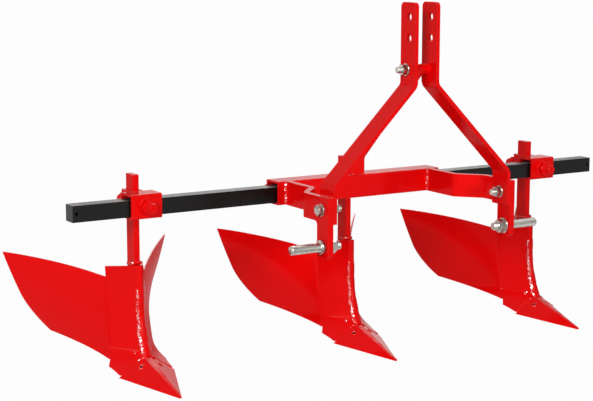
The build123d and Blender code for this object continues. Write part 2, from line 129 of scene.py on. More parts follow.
def stand(made: bpy.types.Object, axes: np.ndarray, at: np.ndarray) -> None:
    """Place an object by its three axes, one in each row, and its origin in metres.

    Args:
        made: the object.
        axes: its three axes, one in each row.
        at: its origin in metres.
    """
    place = np.eye(4)
    place[:3, :3] = axes.T
    place[:3, 3] = at
    made.matrix_world = Matrix(place.tolist())


@dataclass
class Shell:
    """Points and faces of one closed or open surface, on the level machine."""

    points: np.ndarray
    faces: list[tuple[int, ...]]

    @classmethod
    def from_grid(cls, grid: np.ndarray, cap: bool = True) -> "Shell":
        """Join a grid of points into quads, with the last column joined to the first.

        Args:
            grid: points, rows by columns by three.
            cap: the first and last row are closed with one face each.

        Returns:
            The shell.
        """
        rows, columns = grid.shape[:2]
        near = np.arange(rows * columns).reshape(rows, columns)
        far = np.roll(near, -1, axis=1)
        quads = np.stack([near[:-1], far[:-1], far[1:], near[1:]], axis=-1)
        faces = [tuple(q) for q in quads.reshape(-1, 4).tolist()]
        if cap:
            faces.append(tuple(range(columns))[::-1])
            faces.append(tuple(range((rows - 1) * columns, rows * columns)))
        return cls(grid.reshape(-1, 3), faces)

    @classmethod
    def joined(cls, shells: "list[Shell]") -> "Shell":
        """Put several shells into one, keeping each as it is.

        Args:
            shells: the shells.

        Returns:
            One shell with all their faces.
        """
        faces: list[tuple[int, ...]] = []
        start = 0
        for shell in shells:
            faces += [tuple(i + start for i in face) for face in shell.faces]
            start += len(shell.points)
        return cls(np.concatenate([shell.points for shell in shells]), faces)


@dataclass(frozen=True)
class Seat:
    """A face on which a turned piece stands, and the direction in which it stands out."""

    at: tuple[float, float, float]
    out: tuple[float, float, float]

    def place(self, along: np.ndarray, across: np.ndarray, up: np.ndarray) -> np.ndarray:
        """Give points from distances out of the seat and in its two cross directions.

        Args:
            along: distances out of the seat.
            across: distances in its first cross direction.
            up: distances in its second cross direction.

        Returns:
            The points.
        """
        w = np.array(self.out, float)
        u = unit(np.cross(w, [0.13, 0.21, 0.97] if abs(w[2]) < 0.9 else [1.0, 0.0, 0.0]))
        v = np.cross(w, u)
        parts = (along[..., None] * w, across[..., None] * u, up[..., None] * v)
        return np.array(self.at, float) + sum(parts)

    def turned(self, profile: list[tuple[float, float]], steps: int = 48) -> Shell:
        """Turn a profile about the seat's direction.

        A point is its distance out, and its radius times the cosine and sine of the turn.

        Args:
            profile: pairs of distance out of the seat and radius, from the inner end outwards.
            steps: how many straight sides the circle has.

        Returns:
            The turned shell.
        """
        along, radius = np.array(profile, float).T
        turn = np.linspace(0, 2 * math.pi, steps, endpoint=False)
        grid = self.place(
            np.repeat(along[:, None], steps, axis=1),
            radius[:, None] * np.cos(turn),
            radius[:, None] * np.sin(turn),
        )
        return Shell.from_grid(grid)

    def hexagon(self, start: float, height: float, flats: float, inner_cone: bool = False,
                turn: float = 0.0, rim: float = 0.45) -> Shell:
        """Make a nut or bolt head whose corners are cut off by a cone.

        The radius at an angle is half the flats over the cosine of the angle to the nearest
        flat. Where that radius is past the cone's circle, the face falls by its tangent of 30
        degrees, which draws the curved line on each flat.

        Args:
            start: how far out of the seat it begins.
            height: its height.
            flats: its size across the flats.
            inner_cone: the face on the seat is cut by a cone too.
            turn: how far it is turned about its axis, in radians.
            rim: the small rounding between face and cone.

        Returns:
            The nut's or head's shell.
        """
        per_flat = 10
        angle = np.arange(6 * per_flat) * (math.pi / 3 / per_flat)
        flat = flats / 2 / np.cos((angle % (math.pi / 3)) - math.pi / 6)
        circle = flats / 2 * 0.93
        fall = np.maximum(flat - circle, 0) * math.tan(math.radians(30))
        ones = np.ones_like(angle)
        rings = [(0.0 * ones, circle * ones)]
        if inner_cone:
            rings.append((fall, flat))
        else:
            rings.append((0.0 * ones, flat - rim / 2))
            rings.append((rim / 2 * ones, flat))
        rings.append((height - fall, flat))
        rings.append((height - rim / 4 * ones, (circle + rim / 4) * ones))
        rings.append((height * ones, (circle - rim) * ones))
        along = np.stack([ring[0] for ring in rings]) + start
        radius = np.stack([ring[1] for ring in rings])
        angle = angle + turn
        return Shell.from_grid(
            self.place(along, radius * np.cos(angle), radius * np.sin(angle)))

    def thread(self, start: float, length: float, radius: float, pitch: float,
               depth: float, steps: int = 36) -> Shell:
        """Make a length of screw thread with a chamfered end.

        The radius falls by the depth along a wave whose place moves by one pitch in a full
        turn, and shrinks by the chamfer over the last eight tenths of a pitch.

        Args:
            start: how far out of the seat the thread begins.
            length: its length.
            radius: the crest's radius.
            pitch: the distance between two crests.
            depth: how deep the groove is.
            steps: how many straight sides the circle has.

        Returns:
            The thread's shell.
        """
        rows = max(int(length / pitch * 6), 12)
        along = np.linspace(0, length, rows)[:, None]
        turn = np.linspace(0, 2 * math.pi, steps, endpoint=False)[None, :]
        wave = 0.5 - 0.5 * np.cos(2 * math.pi * along / pitch - turn)
        run_out = np.clip(along / pitch, 0, 1)
        chamfer = np.clip(along - (length - 0.8 * pitch), 0, None) * 0.9
        size = np.minimum(radius - depth * wave**1.4 * run_out, radius - chamfer)
        grid = self.place(
            np.repeat(along, steps, axis=1) + start, size * np.cos(turn), size * np.sin(turn)
        )
        return Shell.from_grid(grid)


def bead(path: np.ndarray, radius: float, outward: tuple[float, float, float],
         pitch: float = 2.6, seed: int = 1, closed: bool = False, flat: float = 0.8) -> Shell:
    """Carry a rippled round along a path, as a weld lies in a corner.

    The radius swells at each ripple, whose line is bent back at the sides, wanders by a slow
    sum of sines, and draws in to nothing at both ends by the twelfth power of the distance
    from the middle.

    Args:
        path: corners of the path, points by three.
        radius: half the bead's width.
        outward: the direction in which the bead's back faces.
        pitch: distance between two ripples.
        seed: number of the wander's phases.
        closed: the path's end joins its start.
        flat: height of the bead over its half width.

    Returns:
        The bead's shell.
    """
    corners = np.asarray(path, float)
    if closed:
        corners = np.concatenate([corners, corners[:1]])
    steps = np.linalg.norm(np.diff(corners, axis=0), axis=1)
    reach = np.concatenate([[0.0], np.cumsum(steps)])
    count = max(int(reach[-1] / (pitch / 4)), 16)
    s = np.linspace(0, reach[-1], count)
    line = np.stack([np.interp(s, reach, corners[:, k]) for k in range(3)], axis=-1)
    ahead = unit(np.gradient(line, axis=0))
    back = unit(outward - (ahead @ np.array(outward, float))[:, None] * ahead)
    side = np.cross(ahead, back)
    turn = np.linspace(0, 2 * math.pi, 12, endpoint=False)[None, :]
    phase = np.random.default_rng(seed).uniform(0, 6.28, 3)
    wander = 0.13 * np.sin(s / 6.1 + phase[0]) + 0.1 * np.sin(s / 2.7 + phase[1])
    ripple = 0.2 * np.abs(np.sin(math.pi * (s[:, None] / pitch + 0.55 * np.sin(turn) ** 2)))
    size = radius * (0.9 + wander[:, None] + ripple)
    if not closed:
        edge = np.abs(2 * s / reach[-1] - 1)
        size = size * np.sqrt(np.clip(1.02 - edge**12, 0.0, 1.0))[:, None]
    grid = (
        line[:, None]
        + (size * np.cos(turn) * flat)[..., None] * back[:, None]
        + (size * np.sin(turn))[..., None] * side[:, None]
    )
    return Shell.from_grid(grid, cap=not closed)


def linear(red: int, green: int, blue: int) -> tuple[float, float, float, float]:
    """Turn a written colour of 0 to 255 into the linear colour that a shader reads.

    Args:
        red: share of red.
        green: share of green.
        blue: share of blue.

    Returns:
        Red, green, blue and an alpha of one.
    """
    value = np.array([red, green, blue]) / 255
    low = value / 12.92
    high = ((value + 0.055) / 1.055) ** 2.4
    return (*np.where(value <= 0.04045, low, high).tolist(), 1.0)


class Nodes:
    """Short ways to add and join shader nodes in one tree."""

    def __init__(self, tree: bpy.types.NodeTree) -> None:
        """Keep the tree that nodes are added to."""
        self.tree = tree

    def add(self, kind: str, **values: object) -> bpy.types.Node:
        """Add a node. Names that are properties are set; names with a leading i_ are inputs.

        Args:
            kind: the node's type, such as ShaderNodeMath.
            values: properties, and inputs written as i_ and the input's number.

        Returns:
            The new node.
        """
        node = self.tree.nodes.new(kind)
        for name, value in values.items():
            if not name.startswith("i_"):
                setattr(node, name, value)
        for name, value in values.items():
            if name.startswith("i_"):
                self.feed(node.inputs[int(name[2:])], value)
        return node

    def feed(self, socket: bpy.types.NodeSocket, value: object) -> None:
        """Join an output to a socket, or set the socket's own value.

        Args:
            socket: the input.
            value: an output, or a plain value.
        """
        if isinstance(value, bpy.types.NodeSocket):
            self.tree.links.new(value, socket)
        else:
            socket.default_value = value

    def math(self, operation: str, *values: object) -> bpy.types.NodeSocket:
        """Add a Math node and return its output."""
        inputs = {f"i_{k}": v for k, v in enumerate(values)}
        return self.add("ShaderNodeMath", operation=operation, **inputs).outputs[0]

    def spread(self, value: object, low: float, high: float, to_low: float,
               to_high: float) -> bpy.types.NodeSocket:
        """Map a value smoothly from one span to another.

        Args:
            value: the value.
            low: start of its span.
            high: end of its span.
            to_low: value at the start.
            to_high: value at the end.

        Returns:
            The node's output.
        """
        node = self.add(
            "ShaderNodeMapRange", interpolation_type="SMOOTHSTEP", i_0=value, i_1=low, i_2=high,
            i_3=to_low, i_4=to_high,
        )
        return node.outputs[0]

    def mix(self, share: object, first: object, second: object,
            blend: str = "MIX") -> bpy.types.NodeSocket:
        """Mix two colours and return the outcome.

        Args:
            share: share of the second colour.
            first: first colour.
            second: second colour.
            blend: how they are mixed.

        Returns:
            The node's output.
        """
        node = self.add("ShaderNodeMix", data_type="RGBA", blend_type=blend)
        self.feed(node.inputs[0], share)
        self.feed(node.inputs[6], first)
        self.feed(node.inputs[7], second)
        return node.outputs[2]

    def noise(self, where: object, scale: object, detail: float = 2.0,
              rough: float = 0.5) -> bpy.types.NodeSocket:
        """Add a noise of object space and return its value.

        Args:
            where: the place.
            scale: size of the noise.
            detail: number of finer layers.
            rough: strength of the finer layers.

        Returns:
            The node's output.
        """
        node = self.add("ShaderNodeTexNoise")
        for label, value in (("Vector", where), ("Scale", scale), ("Detail", detail),
                             ("Roughness", rough)):
            self.feed(node.inputs[label], value)
        return node.outputs["Fac"]

    def group(self, tree: bpy.types.NodeTree,
              **inputs: object) -> bpy.types.bpy_prop_collection:
        """Add a shared effect with its inputs set by name, and return its outputs.

        Args:
            tree: the effect's node group.
            inputs: values by the inputs' names.

        Returns:
            Its outputs.
        """
        node = self.add("ShaderNodeGroup", node_tree=tree)
        for label, value in inputs.items():
            self.feed(node.inputs[label], value)
        return node.outputs

    def summed(self, start: object, *parts: tuple[object, float]) -> bpy.types.NodeSocket:
        """Add shares of other values to a value."""
        for value, share in parts:
            start = self.math("ADD", start, self.math("MULTIPLY", value, share))
        return start

    def where(self) -> bpy.types.NodeSocket:
        """Return the place on the object."""
        return self.add("ShaderNodeTexCoord").outputs["Object"]

    def normal(self) -> bpy.types.NodeSocket:
        """Return the direction in which the surface faces."""
        return self.add("ShaderNodeNewGeometry").outputs["Normal"]

    def upward(self) -> bpy.types.NodeSocket:
        """Return how far the surface faces up, from -1 to 1."""
        return self.add("ShaderNodeSeparateXYZ", i_0=self.normal()).outputs[2]

    def bump(self, height: object, strength: float, depth: float) -> bpy.types.NodeSocket:
        """Return the normal of a surface with a height of the given strength and depth.

        Args:
            height: the height.
            strength: how strongly it shows.
            depth: its depth in metres.

        Returns:
            The node's output.
        """
        node = self.add("ShaderNodeBump")
        for label, value in (("Strength", strength), ("Distance", depth), ("Height", height)):
            self.feed(node.inputs[label], value)
        return node.outputs[0]

    def seen(self) -> bpy.types.NodeSocket:
        """Return one for rays that show a surface: camera, glossy and transmission rays."""
        path = self.add("ShaderNodeLightPath").outputs
        either = self.math("MAXIMUM", path["Is Camera Ray"], path["Is Glossy Ray"])
        return self.math("MAXIMUM", either, path["Is Transmission Ray"])

    @classmethod
    def emptied(cls, holder: bpy.types.ID) -> "Nodes":
        """Switch on the nodes of a material or world and clear them."""
        holder.use_nodes = True
        holder.node_tree.nodes.clear()
        return cls(holder.node_tree)


class Effects:
    """Shader effects that several finishes share, each one node group with named sockets."""

    @staticmethod
    def start(name: str, inputs: list[tuple[str, str, object]],
              outputs: list[tuple[str, str]]) -> tuple[bpy.types.NodeTree, Nodes]:
        """Make an empty node group with its sockets.

        Args:
            name: the group's name.
            inputs: name, socket type and default of each input.
            outputs: name and socket type of each output.

        Returns:
            The group and its node helper.
        """
        group = bpy.data.node_groups.new(name, "ShaderNodeTree")
        for label, kind, default in inputs:
            socket = group.interface.new_socket(label, in_out="INPUT", socket_type=kind)
            socket.default_value = default
        for label, kind in outputs:
            group.interface.new_socket(label, in_out="OUTPUT", socket_type=kind)
        return group, Nodes(group)

    @classmethod
    def edge_wear_and_sheen(cls) -> bpy.types.NodeTree:
        """Find outer edges, where paint and plating run thin and where paint takes a painted edge
        highlight.

        A rounded normal turns away from the true one near an edge. One minus the cosine
        between them, spread out and broken up by noise, is the mask.

        Returns:
            The node group.
        """
        group, n = cls.start(
            "edge_wear_and_sheen",
            [("Width", "NodeSocketFloat", 0.0015), ("Break", "NodeSocketFloat", 0.5)],
            [("Edge", "NodeSocketFloat")],
        )
        given = n.add("NodeGroupInput")
        where = n.where()
        bevel = n.add("ShaderNodeBevel", samples=4, i_0=given.outputs["Width"])
        true = n.add("ShaderNodeNewGeometry").outputs["True Normal"]
        cosine = n.add("ShaderNodeVectorMath", operation="DOT_PRODUCT", i_0=bevel.outputs[0],
                       i_1=true).outputs["Value"]
        turned = n.spread(n.math("SUBTRACT", 1.0, cosine), 0.02, 0.22, 0.0, 1.0)
        patch = n.spread(n.noise(where, 60.0, 4.0, 0.65), 0.35, 0.65, 0.0, 1.0)
        kept = n.math("SUBTRACT", 1.0, n.math("MULTIPLY", given.outputs["Break"], patch))
        out = n.add("NodeGroupOutput")
        n.feed(out.inputs["Edge"], n.math("MULTIPLY", turned, kept))
        return group

    @classmethod
    def orange_peel(cls) -> bpy.types.NodeTree:
        """Give the height of sprayed paint: soft pimples, with a slow unevenness below them.

        Returns:
            The node group.
        """
        group, n = cls.start(
            "orange_peel",
            [("Peel", "NodeSocketFloat", 1.0), ("Scale", "NodeSocketFloat", 420.0)],
            [("Height", "NodeSocketFloat"), ("Cloud", "NodeSocketFloat")],
        )
        given = n.add("NodeGroupInput")
        where = n.where()
        fine = n.noise(where, given.outputs["Scale"], 1.0)
        slow = n.noise(where, 34.0)
        height = n.summed(n.math("MULTIPLY", fine, 0.6), (slow, 1.4))
        out = n.add("NodeGroupOutput")
        n.feed(out.inputs["Height"], n.math("MULTIPLY", height, given.outputs["Peel"]))
        n.feed(out.inputs["Cloud"], n.noise(where, 5.5, 4.0, 0.6))
        return group

    @classmethod
    def handling(cls) -> bpy.types.NodeTree:
        """Give faint dust, which also paints a pale sheen of light on upward faces, and rub marks:
        flat clouds, stretched a little across the surface.

        Returns:
            The node group.
        """
        group, n = cls.start(
            "handling",
            [("Amount", "NodeSocketFloat", 0.5)],
            [("Dust_and_sheen", "NodeSocketFloat"), ("Rub", "NodeSocketFloat")],
        )
        given = n.add("NodeGroupInput")
        where = n.where()
        drawn = n.add("ShaderNodeMapping", vector_type="POINT", i_0=where)
        drawn.inputs["Scale"].default_value = (1.0, 1.0, 0.25)
        drawn.inputs["Rotation"].default_value = (0.4, 0.7, 0.2)
        lying = n.spread(n.upward(), 0.88, 0.98, 0.0, 1.0)
        cloud = n.spread(n.noise(where, 14.0, 6.0, 0.7), 0.42, 0.72, 0.0, 1.0)
        rub = n.spread(n.noise(drawn.outputs[0], 55.0, 5.0, 0.75), 0.5, 0.75, 0.0, 1.0)
        out = n.add("NodeGroupOutput")
        dust_and_sheen = n.math("MULTIPLY", n.math("MULTIPLY", lying, cloud), given.outputs["Amount"])
        n.feed(out.inputs["Dust_and_sheen"], dust_and_sheen)
        n.feed(out.inputs["Rub"], n.math("MULTIPLY", rub, given.outputs["Amount"]))
        return group


def new_material(name: str) -> tuple[bpy.types.Material, Nodes, bpy.types.Node]:
    """Make a material, and return it with its node helper and its shader."""
    material = bpy.data.materials.new(name)
    material.use_nodes = True
    return material, Nodes(material.node_tree), material.node_tree.nodes["Principled BSDF"]


# Pale colour of dust on tops, which also paints a sheen of light there.
DUST_AND_SHEEN = (214, 198, 190)
# White of the painted glints on weld crests.
PAINTED_GLINT = (250, 246, 244)
WORN_ZINC = (206, 204, 196)


@dataclass(frozen=True)
class Paint:
    """Sprayed gloss paint: its colour, how it shines and how it wears, with painted highlights on
    edges, tops and weld crests.
    """

    name: str
    slot: str
    colour: tuple[int, int, int]
    deep: tuple[int, int, int]
    # Colour on edges: paint worn thin, and a painted edge highlight.
    edge: tuple[int, int, int]
    roughness: float = 0.1
    specular: float = 0.06
    matt: float = 0.75
    # Share of painted glints on crests that face the lamps.
    glint: float = 0.0
    peel: float = 1.0
    dust_and_sheen: float = 0.3
    edge_wear_and_sheen_share: float = 0.6

    def make(self, effects: dict[str, bpy.types.NodeTree]) -> bpy.types.Material:
        """Build the paint's material from the shared effects.

        Args:
            effects: the node groups by name.

        Returns:
            The material.
        """
        material, n, shader = new_material(self.name)
        shader.inputs["Specular IOR Level"].default_value = self.specular
        peel = n.group(effects["orange_peel"], Peel=self.peel)
        edge_mask = n.group(effects["edge_wear_and_sheen"])
        hands = n.group(effects["handling"], Amount=self.dust_and_sheen)
        cloud = n.spread(peel["Cloud"], 0.3, 0.7, 0.0, 1.0)
        body = n.mix(n.math("MULTIPLY", cloud, 0.5), linear(*self.colour), linear(*self.deep))
        # Lighter colour on edges: paint worn thin, and a painted highlight along the edges.
        body = n.mix(n.math("MULTIPLY", edge_mask["Edge"], self.edge_wear_and_sheen_share), body, linear(*self.edge))
        # Pale colour on upward faces: dust, and a painted sheen of light on the tops.
        body = n.mix(hands["Dust_and_sheen"], body, linear(*DUST_AND_SHEEN))
        if self.glint:
            # Painted glints: white metal spots on crests that face the lamps stand in for
            # highlights.
            painted_glint = self.painted_glints(n)
            body = n.mix(painted_glint, body, linear(*PAINTED_GLINT))
            n.feed(shader.inputs["Metallic"], painted_glint)
        n.feed(shader.inputs["Base Color"], body)
        rough = n.summed(self.roughness, (cloud, 0.05), (hands["Rub"], 0.25),
                         (hands["Dust_and_sheen"], 0.5))
        n.feed(shader.inputs["Roughness"], rough)
        n.feed(shader.inputs["Normal"], n.bump(peel["Height"], 0.35, 0.0004))
        flat = n.add("ShaderNodeBsdfDiffuse", i_0=body)
        facing = n.add("ShaderNodeLayerWeight", i_0=0.5).outputs["Facing"]
        share = n.spread(facing, 0.2, 0.85, 0.0, self.matt)
        share = n.math("MULTIPLY", share, n.spread(n.upward(), 0.6, 0.9, 1.0, 0.0))
        both = n.add("ShaderNodeMixShader", i_0=share, i_1=shader.outputs[0], i_2=flat.outputs[0])
        n.feed(material.node_tree.nodes["Material Output"].inputs[0], both.outputs[0])
        return material

    def painted_glints(self, n: Nodes) -> bpy.types.NodeSocket:
        """Paint glints: white, mirror-like spots on a weld's crests that stand in for highlights of
        the lamps.

        The peaks of a noise count only where the surface faces to the left, ahead and up, toward
        the lamps.

        Args:
            n: the helper of the material's tree.

        Returns:
            The mask.
        """
        where = n.where()
        peaks = n.spread(n.noise(where, 230.0, 3.0, 0.7), 0.535, 0.6, 0.0, self.glint)
        # Painted highlight only where the surface faces the lamps.
        toward = n.add("ShaderNodeVectorMath", operation="DOT_PRODUCT", i_0=n.normal())
        toward.inputs[1].default_value = (-0.77, -0.5, 0.4)
        return n.math("MULTIPLY", peaks, n.spread(toward.outputs["Value"], 0.88, 0.98, 0.0, 1.0))


@dataclass(frozen=True)
class Plating:
    """Zinc plating on steel: a warm grey metal, cloudy, with finer marks from machining.

    Bands are a painted reflection: they say how much of the light colour shows against the dark rim
    colour from facing to grazing, as a bright part does that mirrors a dark workshop between its
    lamps.
    """

    name: str
    slot: str
    colour: tuple[int, int, int]
    stain: tuple[int, int, int]
    # Dark colour of the painted reflection bands.
    rim: tuple[int, int, int]
    roughness: float = 0.3
    painted_reflection_bands: tuple[tuple[float, float], ...] = (
        (0.0, 0.95), (0.1, 0.6), (0.22, 0.3), (0.38, 0.9), (0.55, 0.75), (0.75, 0.15), (1.0, 0.0))

    def make(self, effects: dict[str, bpy.types.NodeTree]) -> bpy.types.Material:
        """Build the plating's material from the shared effects.

        Args:
            effects: the node groups by name.

        Returns:
            The material.
        """
        material, n, shader = new_material(self.name)
        shader.inputs["Metallic"].default_value = 1.0
        peel = n.group(effects["orange_peel"], Scale=900.0)
        edge_mask = n.group(effects["edge_wear_and_sheen"], Width=0.0008)
        hands = n.group(effects["handling"], Amount=0.7)
        cloud = n.spread(n.noise(n.where(), 95.0, 4.0, 0.65), 0.35, 0.7, 0.0, 1.0)
        body = n.mix(cloud, linear(*self.colour), linear(*self.stain))
        facing = n.add("ShaderNodeLayerWeight", i_0=0.5).outputs["Facing"]
        painted_band = n.add("ShaderNodeValToRGB", i_0=facing)
        steps = painted_band.color_ramp
        for place, shade in self.painted_reflection_bands[1:-1]:
            steps.elements.new(place).color = (shade, shade, shade, 1.0)
        for k, (place, shade) in ((0, self.painted_reflection_bands[0]), (-1, self.painted_reflection_bands[-1])):
            steps.elements[k].position = place
            steps.elements[k].color = (shade, shade, shade, 1.0)
        # Painted reflection: light and dark bands by the facing angle.
        body = n.mix(painted_band.outputs[0], linear(*self.rim), body)
        body = n.mix(n.math("MULTIPLY", edge_mask["Edge"], 0.5), body, linear(*WORN_ZINC))
        n.feed(shader.inputs["Base Color"], body)
        rough = n.summed(self.roughness, (cloud, 0.14), (hands["Rub"], 0.15))
        n.feed(shader.inputs["Roughness"], rough)
        n.feed(shader.inputs["Normal"], n.bump(peel["Height"], 0.3, 0.00025))
        return material


RED = Paint("gloss_red_paint", "red_paint", (238, 9, 10), (230, 6, 8), (246, 58, 52))
# Weld paint, with painted white glints on its crests.
WELD = Paint("red_paint_on_welds", "red_paint", (236, 10, 10), (220, 6, 8), (240, 40, 36),
             roughness=0.08, specular=0.14, matt=0.5, peel=1.6, glint=1.0)
BLACK = Paint("black_bar_paint", "black_paint", (15, 13, 12), (10, 9, 9), (62, 60, 58),
              roughness=0.26, specular=0.16, matt=0.0, dust_and_sheen=0.55, edge_wear_and_sheen_share=0.5)
ZINC = Plating("zinc_plating", "zinc", (222, 219, 211), (188, 184, 175), (66, 62, 57),
               roughness=0.2)
Finish = Paint | Plating


class Workshop:
    """Makes pieces on the parked machine and gives pieces and nodes their finish."""

    def __init__(self) -> None:
        """Build the shared effects once and keep the stance."""
        self.stance = Stance.from_frame()
        self.effects = {
            "edge_wear_and_sheen": Effects.edge_wear_and_sheen(),
            "orange_peel": Effects.orange_peel(),
            "handling": Effects.handling(),
        }
        self.made: dict[str, bpy.types.Material] = {}

    def material(self, finish: Finish) -> bpy.types.Material:
        """Return a finish's material, built the first time it is asked for."""
        if finish.name not in self.made:
            self.made[finish.name] = finish.make(self.effects)
        return self.made[finish.name]

    def piece(self, name: str, shells: list[Shell], body: str, finish: Finish,
              stands_for: tuple[str, ...] = (), sharp: float = 35.0) -> bpy.types.Object:
        """Turn shells into one piece that rides on a body.

        Args:
            name: the piece's name.
            shells: its surfaces on the level machine.
            body: the frame's body that it moves with.
            finish: its paint or plating.
            stands_for: the frame's nodes that it shows instead of.
            sharp: edges that turn by more than this many degrees stay sharp.

        Returns:
            The new object.
        """
        whole = Shell.joined(shells)
        mesh = bpy.data.meshes.new(name)
        mesh.from_pydata(self.stance.parked(whole.points).astype(np.float32), [], whole.faces)
        facing = bmesh.new()
        facing.from_mesh(mesh)
        bmesh.ops.recalc_face_normals(facing, faces=facing.faces)
        facing.to_mesh(mesh)
        facing.free()
        mesh.shade_smooth()
        mesh.set_sharp_from_angle(angle=math.radians(sharp))
        mesh.materials.append(self.material(finish))
        made = shown(name, mesh)
        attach(made, body)
        if stands_for:
            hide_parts(*stands_for)
        log.info("%s: %d faces, rides on %s", name, len(whole.faces), body)
        return made

    def soften(self, shown: bpy.types.Object, rounding: float, segments: int = 3) -> None:
        """Round an object's edges that turn by more than 28 degrees.

        Args:
            shown: the object.
            rounding: width of the rounding in millimetres.
            segments: how many strips the rounding has.
        """
        rounded = shown.modifiers.new("rounded", "BEVEL")
        rounded.width = rounding * 0.001
        rounded.segments = segments
        rounded.limit_method = "ANGLE"
        rounded.angle_limit = math.radians(28)
        rounded.use_clamp_overlap = True
        even = shown.modifiers.new("even", "WEIGHTED_NORMAL")
        even.mode = "FACE_AREA"
        even.weight = 100
        even.keep_sharp = False

    def dress(self, node: str, finish: Finish, rounding: float = 0.8, segments: int = 3) -> None:
        """Give a node of the frame its finish, and round its edges without touching its mesh.

        Its loose triangles are welded, flat neighbours dissolve into whole faces, and edges
        that turn by more than 28 degrees are rounded.

        Args:
            node: the node's name.
            finish: its paint or plating.
            rounding: width of the rounding in millimetres.
            segments: how many strips the rounding has.
        """
        shown = frame["nodes"][node]
        if not shown.material_slots:
            shown.data.materials.append(self.material(finish))
        for slot in shown.material_slots:
            slot.material = self.material(finish)
        shown.data.shade_smooth()
        weld = shown.modifiers.new("weld", "WELD")
        weld.merge_threshold = 0.00002
        flat = shown.modifiers.new("flat", "DECIMATE")
        flat.decimate_type = "DISSOLVE"
        flat.angle_limit = math.radians(0.6)
        self.soften(shown, rounding, segments)
        log.info("%s: %s", node, finish.name)


@dataclass(frozen=True)
class SetBolt:
    """A set bolt in a nut that is welded to the tube, all painted over."""

    radius: float = 12.0
    stub: float = 20.0
    nut_flats: float = 36.0
    nut_height: float = 19.0
    pitch: float = 3.0

    def shells(self, seat: Seat, reach: float) -> list[Shell]:
        """Return nut, thread and weld on a seat, with the bolt's shank reaching behind it.

        Args:
            seat: the face that the nut stands on.
            reach: how far the shank reaches behind it.

        Returns:
            The shells.
        """
        ring = np.linspace(0, 2 * math.pi, 48, endpoint=False)
        foot = seat.place(0 * ring + 0.6, 18.6 * np.cos(ring), 18.6 * np.sin(ring))
        return [
            seat.hexagon(0.0, self.nut_height, self.nut_flats),
            seat.turned([(-reach, self.radius - 1), (-reach + 1, self.radius), (1, self.radius)]),
            seat.thread(self.nut_height - 1, self.stub + 1, self.radius, self.pitch, 0.8),
            bead(foot, 2.4, seat.out, pitch=3.4, seed=7, closed=True),
        ]


@dataclass(frozen=True)
class ThroughBolt:
    """A plated bolt with its head, two washers, nut and thread end."""

    radius: float = 8.0
    flats: float = 24.0
    head: float = 10.0
    nut: float = 13.0
    tail: float = 12.0
    washer: float = 15.0
    washer_height: float = 3.0
    pitch: float = 2.0

    def washer_ring(self, seat: Seat, start: float) -> Shell:
        """Return a washer with rolled edges."""
        r, h, e = self.washer, self.washer_height, 0.5
        return seat.turned([(start, r - e), (start + e, r), (start + h - e, r), (start + h, r - e)])

    def shells(self, seat: Seat, grip: float) -> list[Shell]:
        """Return the bolt on the seat of its head, clamping plates of the given grip.

        Args:
            seat: the face under the head.
            grip: thickness of the plates.

        Returns:
            The shells.
        """
        below = -grip - self.washer_height
        back = Seat(
            tuple(np.array(seat.at) + np.array(seat.out) * below), tuple(-np.array(seat.out))
        )
        return [
            self.washer_ring(seat, 0.0),
            seat.hexagon(self.washer_height, self.head, self.flats, turn=0.35),
            seat.turned([(below, self.radius), (0.5, self.radius)]),
            self.washer_ring(seat, below),
            back.hexagon(0.0, self.nut, self.flats, inner_cone=True, turn=0.8),
            back.thread(self.nut - 1, self.tail + 1, self.radius, self.pitch, 0.6),
        ]


@dataclass(frozen=True)
class Tube:
    """The square tube of sleeve and clamps, measured from the toolbar's centre line."""

    half: float = 30.0
    floor: float = -26.0
    top: float = 34.0
    middle: float = 4.0

    def upright(self, x: float, y: float, inset: float) -> np.ndarray:
        """Return the path of an upright weld, inset from the tube's floor and top."""
        return np.array([[x, y, self.floor + inset], [x, y, self.top - inset]])


TUBE = Tube()


@dataclass
class Toolbar:
    """The square bar, its end plates, and the clamps that slide on it."""

    shop: Workshop
    pocket_half: float = 18.0
    pocket_rear: float = 80.0
    bolt: SetBolt = field(default_factory=SetBolt)

    def dress(self) -> None:
        """Paint the bar black and the clamps red."""
        self.shop.dress("toolbar", BLACK, 2.6, 4)
        for side in Side:
            self.shop.dress(f"{side.word}_end_cap", BLACK, 0.5)
            self.shop.dress(f"{side.word}_clamp", RED, 1.0)

    def build(self) -> None:
        """Make the welds and set bolts of both clamps."""
        for side, row in ((Side.LEFT, Row.LEFT), (Side.RIGHT, Row.RIGHT)):
            body = f"{side.word}_clamp"
            front = Seat((row.value, -TUBE.half, TUBE.middle), (0, -1, 0))
            self.shop.piece(f"{side.word}_clamp_set_bolt", self.bolt.shells(front, 10.0),
                            body, RED, (f"{side.word}_clamp_bolt",))
            self.pocket(row, body)

    def pocket(self, row: Row, body: str) -> None:
        """Dress a leg pocket, and make its set bolt and the welds that hold it to the tube.

        Args:
            row: the pocket's row.
            body: the body it rides on.
        """
        rear = Seat((row.value, self.pocket_rear, TUBE.middle), (0, 1, 0))
        self.shop.dress(f"{row.word}_pocket", RED, 0.9)
        self.shop.piece(f"{row.word}_pocket_set_bolt", self.bolt.shells(rear, 10.0), body, RED,
                        (f"{row.word}_pocket_bolt",))
        beads = []
        for k, side in enumerate(Side):
            path = TUBE.upright(row.value + side.value * self.pocket_half, TUBE.half, 2)
            beads.append(bead(path, 3.2, (side.value, 1, 0), seed=11 + k))
        self.shop.piece(f"{row.word}_pocket_welds", beads, body, WELD)


